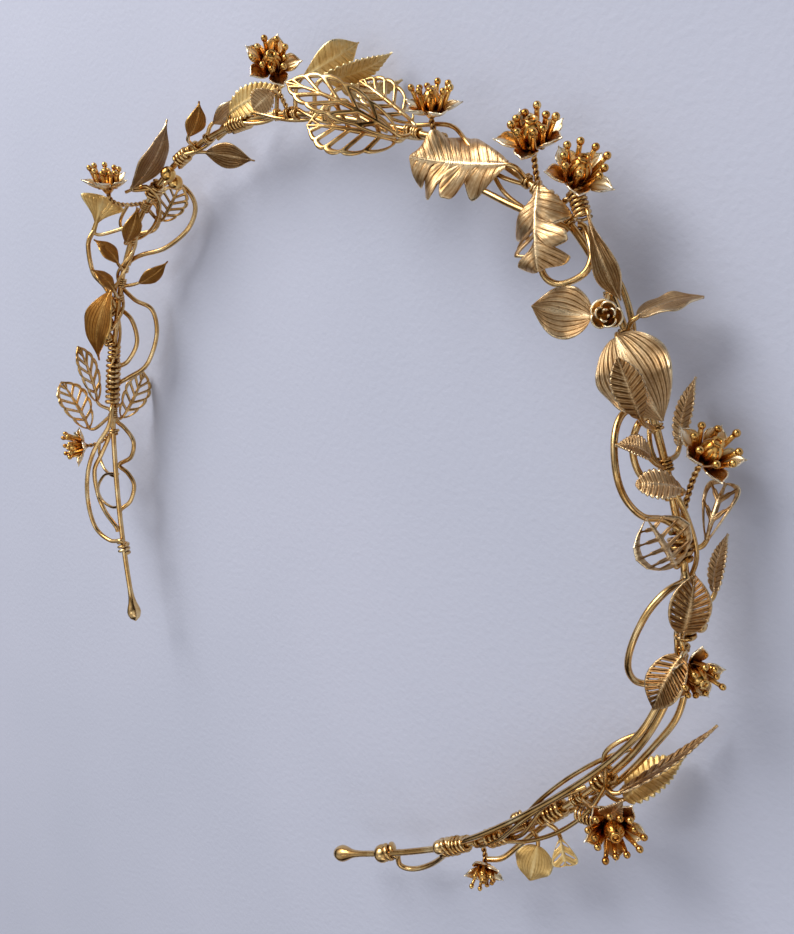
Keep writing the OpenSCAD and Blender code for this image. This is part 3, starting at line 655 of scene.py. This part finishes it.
# %% Leaf table
LEAVES = [
    # name, kind, root station, base, tip, width, roll, bow, cup
    ("left_skeleton_leaf", "filigree", 44.5, (41, 6, 3), (51, 11, 7), 7.5, 80, 1, 0.15),
    ("left_lower_skeleton_leaf", "filigree", 44.5, (43.5, 1.5, -3.5), (54.5, 0, -8.4), 7, 80, 1, 0.15),
    ("left_filigree_leaf", "filigree", 46, (48, 2, 3), (61, 2.5, 8), 5.5, 100, 0.8, 0.1),
    ("left_folded_leaf", "amber_lance", 77, (75, -1, 3), (58, 0.5, 3.5), 8.5, -12, 2, 0.3),
    ("left_small_leaf_a", "amber_lance", 76, (78, -3.5, -2), (86, -6.5, -6), 4, 65, 0.8, 0.2),
    ("left_small_leaf_b", "amber_lance", 73, (75.5, -2.4, 3.3), (79, 1.8, 7.2), 4, 90, 0.8, 0.2),
    ("left_small_leaf_c", "amber_lance", 80, (82, -1.5, 3), (85, 3.5, 7), 4.5, 85, 0.8, 0.2),
    ("left_small_leaf_d", "amber_lance", 87, (88, -2, 3), (97, -1, 3), 4.5, 80, 0.8, 0.2),
    ("calyx_leaf", "bright_fan", 91, (86.0, 4.8, 6.6), (92.6, 7.6, 4.8), 9.5, 55, 0.4, 0.1),
    ("left_serrated_leaf", "brown_lance", 101.5, (100, 1.5, 4.5), (113, 8.5, 1), 8, 102, 1.5, 0.2),
    ("shoulder_filigree_leaf", "filigree", 96, (94.5, -2, -4), (105, -1, -4), 6.5, 60, 0.6, 0.1),
    ("shoulder_leaf_a", "amber_lance", 118, (120, 1, 3), (125, 6, 3), 5, 90, 0.8, 0.2),
    ("shoulder_leaf_b", "lance", 122, (124, 2.5, -0.5), (132, 6.5, -3.5), 6, 75, 1, 0.2),
    ("shoulder_leaf_c", "brown_lance", 116, (118, -1, -2), (126, -5, -8), 5.5, 15, -0.5, 0.2),
    ("shoulder_long_leaf", "bright_serrated", 129, (131, 2, 1), (142, 5.5, -3), 6, 5, 1.5, 0.2),
    ("top_lance_leaf", "bright_lance", 148, (150, 6, 1), (157, 13, -5), 6, 38, 1.5, 0.15),
    ("top_serrated_leaf_a", "bright_serrated", 153, (154, 6, 0), (163, 12, -7), 5, 58, 1.5, 0.2),
    ("top_serrated_leaf_b", "bright_serrated", 156, (157, 5, -2), (164, 8, -9.5), 5, 65, 1.5, 0.2),
    ("top_round_leaf", "blunt", 143, (144.5, 3.5, 2.6), (142, 0.4, 4.8), 5, -30, 0.5, 0.2),
    ("filigree_leaf_a", "filigree", 177, (176, -1, 3), (157, 4, 11), 7, 35, 2, 0.15),
    ("filigree_leaf_b", "filigree", 175.5, (174.4, -2, 1.4), (161.4, -2.2, 9.4), 9.5, 20, 1.5, 0.15),
    ("filigree_leaf_c", "filigree", 177.5, (174.8, 1.4, -1.2), (162.8, 6.2, -0.2), 6.8, 45, 0.5, 0.15),
    ("oak_leaf_a", "oak", 201, (198.5, 1, 3), (183.4, -3.4, 7.5), 12.5, 20, -1, -0.15),
    ("oak_leaf_b", "oak_slotted", 204, (205.5, 1.8, 4), (216.3, -5, 7), 10.5, -5, 1, -0.15),
    ("slender_leaf", "late_lance", 211, (213, 4.5, 3), (226, 3, 4), 4.2, 0, 1, 0.15),
    ("bud_left_leaf", "bract", 223.5, (226.2, -1.8, 4.6), (221, -7.5, 9), 8, 15, -1, 0.2),
    ("bud_right_leaf", "broad", 229.5, (228.5, 3, 1), (229, 10.5, -5), 5.5, -55, 0.5, 0.3),
    ("broad_leaf", "broad", 231.5, (230.3, 0.5, 4), (243.4, 3.3, 4), 11.5, -10, 1.2, 0.2),
    ("rose_leaf", "rose", 244, (242.2, 1.5, 6.8), (233.7, 3.2, 11), 4.8, 30, 1, 0.1),
    ("folded_serrated_leaf", "serrated", 250, (247.8, 0, 4.2), (245, -3, 7.3), 4.5, 70, 0.8, 0.4),
    ("ribbed_serrated_leaf", "blunt", 254, (253, 3, 3), (251, -1, 8), 5, 45, 0.8, 0.2),
    ("long_serrated_leaf", "serrated", 249, (247.5, 0.6, -4.4), (238.5, 5, -6.4), 3.8, -20, 0.6, 0.2),
    ("fork_leaf", "fork", 262, (261, 3, -2), (254, 5.5, -6), 5, 5, 0.8, 0.1),
    ("barred_leaf", "barred", 263, (263.5, 0, 3), (256, -1.5, 6), 9, 45, 0.8, 0.1),
    ("narrow_serrated_leaf", "serrated", 270, (268.5, 3, -3), (261, 4.5, -6), 3.5, -25, 0.6, 0.2),
    ("pierced_leaf_a", "slotted", 274.5, (273, 1, 3), (264.6, 2.6, 2.5), 6, 35, 1, 0.15),
    ("pierced_leaf_b", "slotted", 278, (276, 1.7, 4), (284.5, 0.5, 6), 5.8, 5, 1, 0.15),
    ("end_long_leaf", "dark_serrated", 305, (303.2, 2.9, 1), (288.7, 6.4, -8), 3, -60, -0.8, 0.3),
    ("end_under_leaf", "bright_serrated", 306.5, (305.5, 4.2, -2.2), (296, 5.4, -8.2), 6.4, -28, 1.2, 0.2),
    ("crumpled_leaf", "serrated", 310.5, (306.8, 3.5, 3), (303, 4, 1.6), 4, 40, 0.8, 0.3),
    ("holed_leaf", "holed", 320.5, (319, 3.9, 0.2), (320.3, 8, 1), 4.5, -30, 0.3, 0.1),
    ("fan_leaf", "bright_broad", 324, (324.4, 3.7, 0), (328.6, 8.2, 1), 7, -20, 0.3, 0.15),
]
print("leaves:", len(LEAVES))

# %% [markdown]
# A kind sets how the blade tree is used. Belly is how far along the leaf is widest. Foot and Point
# round or sharpen the base and the tip. Ribs counts the veins, and Slant leans them. Teeth or
# Lobes cut the rim. Curl and Fold roll it over, Wave ripples it, and Uneven makes its lobes
# differ. Open takes out the cells between the ribs. Relief raises or sinks the veins.

# %% Leaf kinds
KINDS = {
    "lance": dict(Foot=1.0, Belly=0.42, Point=0.9, Ribs=7.0, Slant=0.15, Relief=0.0, Wave=0.06, Curl=-0.8,
                  Lengthwise=1.0),
    "broad": dict(Foot=0.6, Belly=0.40, Point=0.45, Ribs=9.0, Columns=15, Slant=0.15, Relief=0.0,
                  Wave=0.10, Curl=-1.3, Lengthwise=1.0),
    "bright_fan": dict(Belly=0.8, Point=0.0, Ribs=7.0, Slant=0.2, Relief=0.05, Curl=-0.4,
                       Lengthwise=1.0, Finish=bright_painted_light_leaf),
    "serrated": dict(Belly=0.32, Point=0.7, Ribs=13.0, Columns=9, Relief=0.02, Teeth=0.26, Curl=-0.5),
    "oak": dict(Foot=0.85, Belly=0.44, Point=0.0, Ribs=11.0, Columns=17, Slant=0.8, Relief=0.01,
                Lobes=3.8, Notch=0.68, Uneven=0.28, One_side=0.9, Wave=0.35, Curl=-1.7, Fold=0.2,
                Finish=oak_leaf),
    "oak_slotted": dict(Belly=0.42, Point=0.0, Ribs=12.0, Columns=15, Slant=0.8, Relief=0.01,
                        Lobes=3.0, Notch=0.6, Uneven=0.2, Wave=0.35, Curl=-1.6, Fold=0.5,
                        Open=0.5, Open_from=0.42, Open_to=0.66, Open_side=-1.0, Finish=oak_leaf),
    "slotted": dict(Belly=0.30, Point=0.9, Ribs=11.0, Slant=0.8, Relief=-0.05, Sharpness=2.0, Open=0.34,
                    Narrow=-0.2, Spread=1.05, Least=0.16, Finish=brown_painted_shade_leaf),
    "barred": dict(Belly=0.40, Point=0.3, Ribs=5.0, Slant=0.6, Relief=-0.06, Sharpness=1.0, Open=0.7,
                   Narrow=0.45, Spread=1.35, Teeth=-0.05),
    "fork": dict(Belly=0.5, Point=0.4, Ribs=3.0, Slant=1.4, Relief=-0.06, Sharpness=1.0, Open=0.7,
                 Narrow=0.6, Spread=1.2),
    "filigree": dict(Belly=0.38, Point=0.9, Ribs=6.0, Columns=15, Slant=0.95, Relief=0.0, Open=0.85,
                     Open_from=0.02, Narrow=0.1, Spread=1.25, Teeth=0.14, Finish=gold_wire),
}


def variant(name, parent, **changes):
    KINDS[name] = {**KINDS[parent], **changes}


variant("late_lance", "lance", Belly=0.64, Point=0.4, Curl=-0.6, Finish=brown_painted_shade_leaf)
variant("brown_lance", "lance", Finish=brown_painted_shade_leaf)
variant("amber_lance", "lance", Finish=amber_painted_shade_leaf)
variant("bright_lance", "lance", Belly=0.5, Point=0.5, Ribs=9.0, Slant=0.4, Lengthwise=0.0,
        Finish=bright_painted_light_leaf)
variant("bract", "lance", Belly=0.40, Foot=0.6, Point=0.35)
variant("bright_broad", "broad", Finish=bright_painted_light_leaf)
variant("bright_serrated", "serrated", Finish=bright_painted_light_leaf)
variant("dark_serrated", "serrated", Finish=brown_painted_shade_leaf)
variant("blunt", "serrated", Belly=0.45, Point=0.0, Ribs=9.0)
variant("rose", "serrated", Belly=0.42, Point=0.6, Ribs=11.0, Columns=11, Slant=0.6, Relief=0.03,
        Teeth=0.16, Curl=-0.3, Finish=brown_painted_shade_leaf)
variant("holed", "fork", Open=0.3, Narrow=0.0, Finish=bright_painted_light_leaf)
print("kinds:", len(KINDS))

# %% [markdown]
# A blade is made lying along x and then laid from its base to its tip. Solidify gives the sheet
# its thickness, and two open kinds are swollen a little, so that their bars look like cast wire.
# The stem leaves the band square to it and runs a little way on to the leaf.

# %% Leaf blade
SHEET = 0.42
SWOLLEN = {"filigree": 0.12, "fork": 0.08}


def square_to(v, axis):
    """The part of v that is square to the axis, as a direction."""
    return (v - axis * v.dot(axis)).normalized()


def leaf_frame(base, tip, roll):
    """Turns the flat blade so that it lies from base to tip, rolled about its midrib."""
    along = (tip - base).normalized()
    flat = square_to(Vector((0, 0, 1)), along)
    up = flat * math.cos(math.radians(roll)) + along.cross(flat) * math.sin(math.radians(roll))
    return along, up.cross(along), up


def leaf_blade(kind, length, width, bow, cup):
    style = dict(KINDS[kind])
    style["Belly"] = math.log(0.5) / math.log(style["Belly"])
    style["Relief"] *= MM
    open_work = "Open" in style
    style["Rows"] = int(style["Ribs"]) * (8 if open_work else 6) + 1
    smoothing = 2 if open_work or kind == "oak" else 1
    return mesh_from(blade_tree, {
        "Length": length * MM, "Half_width": width / 2 * MM, "Bow": bow * MM, "Cup": cup,
        "Midrib": 0.25 * MM, "Finish": satin_leaf, **style}, after=[
            ("WELD", {"merge_threshold": 0.00001}),
            ("SOLIDIFY", {"thickness": SHEET * MM, "offset": 0.0}),
            ("SUBSURF", {"levels": smoothing, "render_levels": smoothing}),
            ("DISPLACE", {"strength": SWOLLEN.get(kind, 0.0) * MM, "mid_level": 0.0})])


# %% Leaves on their stems
STEM_D = 0.85


def laid(axes, origin):
    """Turns a mesh's x, y and z to these directions and moves it to a place in millimetres."""
    return Matrix.Translation(origin * MM) @ Matrix(axes).transposed().to_4x4()


def leaf(name, kind, station, base_spot, tip_spot, width, roll, bow, cup):
    base, tip = place(base_spot), place(tip_spot)
    along, side, up = leaf_frame(base, tip, roll)
    length = (tip - base).length
    blade = leaf_blade(kind, length, width, bow, cup)
    blade.transform(laid((along, side, up), base))
    start = (along * length + up * 4 * bow).normalized()
    middle, direction, _ = band_frame(station)
    bend = base - start * min(2, 0.35 * (base - middle).length)
    root = middle + square_to(bend - middle, direction) * BAND_R
    knee = root * 0.25 + bend * 0.5 + base * 0.25
    on_leaf = [base + along * length * t + up * (4 * bow * t * (1 - t) + 0.05) for t in (0.06, 0.14)]
    line = smooth([root, knee, base, *on_leaf], 6)
    thin = [1.0 - 0.65 * (k / (len(line) - 1)) ** 2 for k in range(len(line))]
    stem = wire(line, STEM_D, radii=thin)
    return piece(name + "_sheet", [blade, stem], name)


total = 0
for row in LEAVES:
    made = leaf(*row)
    total += len(made.data.polygons)
print("leaf faces:", total)

# %% [markdown]
# The flowers. A petal is a small cupped sheet with a tiny point, repeated round the heart. The
# stamens are pins with ball ends that stand in a crown round it, and a small eyelet sits on top.
# Both could be copied by hand. Here trees instance one shape on a ring of points, with a seed
# for small differences.

# %% Petal tree
petal_tree, size = start_tree("petals", Radius=0.005, Petals=5, First_turn=0.0, Seed=0, Finish=None)
radius = size["Radius"]
grid, u, y = flat_grid(radius, 14, 11)
reach = 0.2 + 0.8 * u - 0.12 * y * y * u * u + 0.1 * u ** 8.0 * (1 - abs(y) * 3.5).least(0.0)
width = 0.34 * ((0.08 + 0.9 * u) ** 1.35 * math.pi).sin().least(0.0) ** 0.55
rise = 0.03 + 0.3 * u * u + 0.18 * y * y * (u * math.pi).sin() + 0.015 * (1 - abs(y) * 5.0).least(0.0)
streaks = 0.5 + 0.5 * (y * 26.0).cos()
petal = shaped(grid, (u, y, streaks), (radius * reach, radius * width * y, radius * rise))
points = petal.node("GeometryNodePoints", size["Petals"])
index = petal.node("GeometryNodeInputIndex")
tilt = petal.node("FunctionNodeRandomValue", into={
    "Min": -0.28, "Max": 0.08, "ID": index, "Seed": size["Seed"]})
turn = size["First turn"] + index / size["Petals"] * TAU
petals = petal.node("GeometryNodeInstanceOnPoints", points, into={
    "Instance": petal, "Rotation": petal.point(0.0, tilt, turn)})
end_tree(petal_tree, petals, size["Finish"])

# %% Stamen tree
def raised(shape, height, taller=1.0):
    return shape.node("GeometryNodeTransform", shape, into={
        "Translation": shape.point(0.0, 0.0, height), "Scale": (1.0, 1.0, taller)})


stamen_tree, size = start_tree("stamens", Radius=0.005, Stamens=9, Lean=0.32, Seed=0, Finish=None)
radius = size["Radius"]
pin = radius.node("GeometryNodeMeshCone", 10, 5, 1, radius * 0.07, radius * 0.09, radius * 0.7)
ball = raised(radius.node("GeometryNodeMeshUVSphere", 14, 9, radius * 0.115), radius * 0.74)
stamen = joined(pin, ball)
points = stamen.node("GeometryNodePoints", size["Stamens"])
index = stamen.node("GeometryNodeInputIndex")
turn = (index + 0.5) / size["Stamens"] * TAU
uneven = stamen.node("FunctionNodeRandomValue", into={
    "Min": -0.16, "Max": 0.14, "ID": index, "Seed": size["Seed"]})
crown = points.node("GeometryNodeSetPosition", points, into={
    "Position": points.point(turn.cos() * radius * 0.34, turn.sin() * radius * 0.34, radius * 0.1)})
stamens = crown.node("GeometryNodeInstanceOnPoints", crown, into={
    "Instance": stamen, "Rotation": crown.point(0.0, size["Lean"] + uneven, turn + uneven),
    "Scale": crown.point(1.0, 1.0, 1.0 + uneven)})
heart = raised(crown.node("GeometryNodeMeshUVSphere", 24, 16, radius * 0.32), radius * 0.4, taller=1.3)
eyelet = crown.node("GeometryNodeCurvePrimitiveCircle", 20, into={"Radius": radius * 0.13})
eyelet = raised(eyelet.node("GeometryNodeCurveToMesh", eyelet, eyelet.node(
    "GeometryNodeCurvePrimitiveCircle", 10, into={"Radius": radius * 0.055})), radius * 0.81)
cup = raised(crown.node("GeometryNodeMeshCone", 24, 3, 1, radius * 0.36, radius * 0.12, radius * 0.3),
             radius * -0.14)
end_tree(stamen_tree, joined(stamens, heart, eyelet, cup), size["Finish"])
print("flower trees ready")

# %% [markdown]
# A flower's heart stands on a stem of two thin wires twisted together, which leaves the band
# square to it and bends into the flower's own direction.

# %% Flowers
FLOWERS = [
    # name, root station, heart, direction it faces, diameter, first petal's turn, stamens, their lean
    ("left_flower", 40.5, (36.8, 6.7, 4), (-0.25, -0.10, 0.96), 9.5, 0, 9, 0.3),
    ("shoulder_flower", 97, (95.3, 5.8, 6), (-0.21, 0.95, 0.21), 10.5, 20, 9, 0.25),
    ("top_left_flower", 146, (144.7, 7.5, 3), (0.45, 0.62, 0.64), 10.5, 10, 9, 0.28),
    ("top_flower", 183, (181.2, 3.5, 2), (-0.17, 0.92, 0.35), 9.5, 40, 9, 0.28),
    ("apex_flower", 203, (199.7, 4.9, 1), (-0.05, 0.78, 0.62), 11, 0, 9, 0.28),
    ("apex_right_flower", 208, (208.1, 5.2, 1), (0.22, 0.84, 0.50), 10.5, 30, 9, 0.36),
    ("right_flower", 258.5, (249.9, 4.5, -2.8), (0.20, 0.90, 0.38), 10.5, 45, 8, 0.5),
    ("lower_right_flower", 276.5, (278.4, 2.3, 1.6), (0.85, 0.15, 0.50), 8.8, 0, 9, 0.42),
    ("end_flower", 312, (307.8, 5.8, 1), (0.50, 0.29, 0.81), 10.2, 25, 13, 0.5),
    ("small_flower", 337, (337.2, 4.2, 0.5), (0.61, -0.18, 0.77), 7.5, 0, 9, 0.3),
]
PETAL_METAL = [
    ("SOLIDIFY", {"thickness": 0.3 * MM, "offset": 0.0}), ("SUBSURF", {"levels": 1, "render_levels": 1})]
STRAND_D, TWIST = 0.5, 1.9


def flower(number, name, station, heart_spot, faces, diameter, first_turn, count, lean):
    heart = place(heart_spot)
    axis = Vector(faces).normalized()
    x = square_to(Vector((0.3, 0.2, 1)), axis)
    sizes = {"Radius": diameter / 2 * MM, "Seed": number}
    petals = mesh_from(petal_tree, {
        **sizes, "First_turn": math.radians(first_turn), "Finish": petal_gold}, after=PETAL_METAL)
    stamens = mesh_from(stamen_tree, {**sizes, "Stamens": count, "Lean": lean, "Finish": amber})
    for mesh in (petals, stamens):
        mesh.transform(laid((x, axis.cross(x), axis), heart))
    middle, direction, _ = band_frame(station)
    foot = heart - axis * 1.2
    bend = foot - axis * min(3, 0.5 * (foot - middle).length)
    root = middle + square_to(bend - middle, direction) * BAND_R
    line = [root * (1 - k) ** 2 + bend * 2 * k * (1 - k) + (heart - axis * 0.6) * k * k
            for k in [i / 24 for i in range(25)]]
    stem = wire(line, STRAND_D, strands=2, winding=0.26, turns=length_of(line) / TWIST, sides=8, count=70)
    return piece(name + "_bloom", [petals, stamens, stem], name)


for number, row in enumerate(FLOWERS):
    made = flower(number, *row)
print("last flower faces:", len(made.data.polygons))

# %% [markdown]
# The rose bud is a rosette: small curved petals overlap round a closed middle, each a third
# of a turn and a little further on. One petal is a patch of a tube with its rim turned out,
# and the tree turns, widens and lowers each copy by its number, as a bud's petals grow.

# %% Rose bud
bud_tree, size = start_tree("rose bud", Radius=0.002, Height=0.003, Petals=10, Finish=None)
grid, u, y = flat_grid(size["Radius"], 9, 9)
out = size["Radius"] * (0.5 + 0.42 * (u * 2.3).sin() + 0.22 * u ** 5.0)
wrap = y * (0.75 + 0.35 * (u * math.pi).sin())
# The bud's marks feed the petal gold's painted amber reflection, which darkens each petal's foot.
patch = shaped(grid, (0.45 + 0.55 * u, y, 0.5), (
    out * wrap.cos(), out * wrap.sin(), size["Height"] * u * (1 - 0.16 * y * y)))
points = patch.node("GeometryNodePoints", size["Petals"])
index = patch.node("GeometryNodeInputIndex")
grown = index / size["Petals"]
petals = patch.node("GeometryNodeInstanceOnPoints", points, into={
    "Instance": patch, "Rotation": patch.point(0.0, grown * 0.5, index * 2.4),
    "Scale": patch.point(0.2 + grown * 0.85, 0.2 + grown * 0.85, 1.0 - grown * 0.42)})
end_tree(bud_tree, petals, size["Finish"])
BUD = 227  # its station
bud = mesh_from(bud_tree, {"Radius": 2.0 * MM, "Height": 2.8 * MM, "Finish": petal_gold},
                after=PETAL_METAL)
bud.transform(Matrix.Translation(place((BUD, 0, 3.9)) * MM) @ Matrix.Rotation(0.5, 4, (-0.7, 0.7, 0)))
stalk = wire(smooth([place((BUD, 0, up)) for up in (0.6, 2.4, 4.3)]), 1.1)
collar = coil([place((BUD, 0, 3.0 + 0.2 * k)) for k in range(5)], 0.55, 0.45)
piece("rolled_rose_bud", [bud, stalk, collar], "rose_bud")
print("bud faces:", len(bud.polygons))

# %% [markdown]
# Bindings: thin wire wound tight round the band holds each stem. They follow a path, so the wire
# tree winds them. The long ones are listed one by one, and the rest sit where a stem leaves the band.

# %% Binding coils
WRAPS = ((12, 3), (60, 4), (113, 4), (206, 2), (235, 2.5), (317, 4), (341.5, 4))  # middle, length
COILS = (  # rod radius, wire diameter, spots
    (0.85, 0.55, ((209.4, 4.7, 2.3), (213.2, 3.2, 2.5))), (0.8, 0.55, ((312.6, 1.6, 1), (309.2, 5.2, 1))),
    (1.1, 0.8, ((259.5, 0.4, 0.6), (263, -0.2, 0.6))), (0.8, 1.0, ((47, 0.2, 0), (58, 0, 0))),
    (0.8, 1.0, ((342, 0, 0), (346.5, 0, 0))), (0.9, 0.8, ((271, 0.2, 0), (275, 0.2, 0))),
    (0.9, 0.7, ((99, 0.2, 0), (103, 0, 0))), (0.9, 0.7, ((130, 0, 0), (135, 0, 0))),
    (0.8, 1.0, ((329, 0, 0), (334, 0, 0))), (0.9, 0.9, ((303, 0, 0), (307, 0, 0))),
)


def along_band(middle, length, steps):
    """Points of the band's middle line over a length."""
    return [place((middle + length * (k / steps - 0.5), 0, 0)) for k in range(steps + 1)]


roots = [row[2] for row in LEAVES] + [row[1] for row in FLOWERS]
coils = [coil(along_band(middle, length, 12), BAND_R + 0.1, 0.85, pitch=1.2) for middle, length in WRAPS]
coils += [coil(smooth([place(spot) for spot in spots], 6), over_r, wire_d, pitch=1.25)
          for over_r, wire_d, spots in COILS]
coils += [coil(along_band(station, 1.1, 6), BAND_R + 0.08, 0.48) for station in sorted(set(roots))]
made = piece("binding_coils", coils, "binding_wraps")
print("coils:", len(coils), "faces:", len(made.data.polygons))

# %% [markdown]
# What look like beads along the band are knots: wire wound about twice round a small ball of
# metal, close enough to hide it. Only two, near the shoulder, are smooth amber berries.

# %% Knots and berries
BERRY_D = 3.2
BEADS = (  # station, out, up, diameter
    (70.5, 1.2, 1.5, 3), (67, 1.2, 1.5, 3), (63.5, 1.2, 1.4, 3), (109, -1.7, 1.7, BERRY_D),
    (106.5, -1.8, -1.5, BERRY_D), (273, 1.7, -1.2, 2.4), (321, -1.6, -1, 2.2), (327, -1.6, -1, 2.2),
    (345.5, -0.6, 1.3, 3), (363, 0, 0, 4),
)
ball_tree, size = start_tree("ball", Radius=0.001, Finish=None)
ball = size["Radius"].node("GeometryNodeMeshUVSphere", 24, 16, size["Radius"])
end_tree(ball_tree, ball, size["Finish"])


def ball_at(middle, ball_r, finish):
    made = mesh_from(ball_tree, {"Radius": ball_r * MM, "Finish": finish})
    made.transform(Matrix.Translation(middle * MM))
    return made


def knot(station, out, up, diameter):
    along = band_frame(station)[1]
    middle = place((station, out, up))
    core = ball_at(middle, diameter * 0.44, gold_wire)
    turned = (along * 0.9 + Vector((0, 0, 0.45))).normalized()
    line = [middle - turned * diameter * (0.1 + 0.6 * k / 8) for k in range(9)]
    loops = wire(line, diameter * 0.3, winding=diameter * 0.3, turns=1.9, sides=9, count=48)
    return [core, loops]


knots = []
for station, out, up, diameter in BEADS:
    if diameter == BERRY_D:
        knots.append(ball_at(place((station, out, up)), diameter / 2, amber))
    else:
        knots += knot(station, out, up, diameter)
piece("wire_knots", knots, "beads")
print("knots and berries:", len(BEADS))

# %% [markdown]
# A pale paper floor and soft light. The window stands on the far left, so shadows are soft and
# fall towards the right arm. Metal shows what it mirrors: the world is dim, with soft glows high
# on the left, on the right and over the open side, and two weak panels add long highlights.

# %% Floor
floor_mesh = bpy.data.meshes.new("floor")
corners = [(x, y, -0.2 * MM) for x, y in ((-3, -3), (3, -3), (3, 3), (-3, 3))]
floor_mesh.from_pydata(corners, [], [(0, 1, 2, 3)])
add("floor", floor_mesh)
paper, flow = start_finish("pale paper")
where = object_place(flow)
fibre = noise(flow, where, 900.0, 6.0)
cloud = noise(flow, where, 12.0, 2.0)
colour = tones(flow, cloud, [(0.3, (0.53, 0.565, 0.69)), (0.7, (0.57, 0.60, 0.73))])
end_finish(flow, colour, 0.9, fibre, 0.0001, metallic=0.0)
floor_mesh.materials.append(paper)

# %% Light
world = bpy.data.worlds.new("studio")
bpy.context.scene.world = world
world.use_nodes = True
world.node_tree.nodes.clear()
flow = Flow(world.node_tree)
right, ahead, height = flow.node("ShaderNodeTexCoord", out="Generated").parts()


def glow(x, y, z, rim, sharp):
    """A soft bright patch of sky in the given direction, 0 beyond its rim."""
    return ((right * x + ahead * y + height * z - rim) * sharp).least(0.0).most(1.0)


sky = tones(flow, height, [
    (0.0, (0.08, 0.045, 0.02)), (0.3, (0.34, 0.25, 0.19)), (0.6, (0.80, 0.79, 0.80)),
    (0.95, (0.64, 0.64, 0.68))])
brightness = (0.045 + glow(-0.72, 0.42, 0.55, 0.62, 3.5) * 1.3 + glow(0.74, 0.05, 0.67, 0.70, 4.0) * 0.9
              + glow(-0.1, -0.62, 0.78, 0.80, 5.0) * 0.65)
backdrop = flow.node("ShaderNodeBackground", sky, brightness)
world.node_tree.links.new(backdrop.socket, world.node_tree.nodes.new("ShaderNodeOutputWorld").inputs[0])
bpy.context.scene.view_settings.view_transform = "Standard"


def panel(name, position, width, depth, power, tint):
    """A soft light that looks at the middle of the headband."""
    lamp = bpy.data.lights.new(name, "AREA")
    lamp.shape, lamp.size, lamp.size_y = "RECTANGLE", width, depth
    lamp.energy, lamp.color = power, tint
    thing = add(name, lamp)
    thing.location = position
    thing.rotation_euler = (-Vector(position)).to_track_quat("-Z", "Y").to_euler()


panel("window", (-0.62, 0.42, 0.55), 0.55, 0.55, 6.4, (1.0, 0.98, 0.95))
panel("ceiling", (0.1, -0.1, 0.9), 0.5, 0.3, 0.6, (0.95, 0.97, 1.0))
panel("side", (0.7, -0.3, 0.35), 0.2, 0.6, 0.4, (1.0, 0.95, 0.88))
print("lights ready")
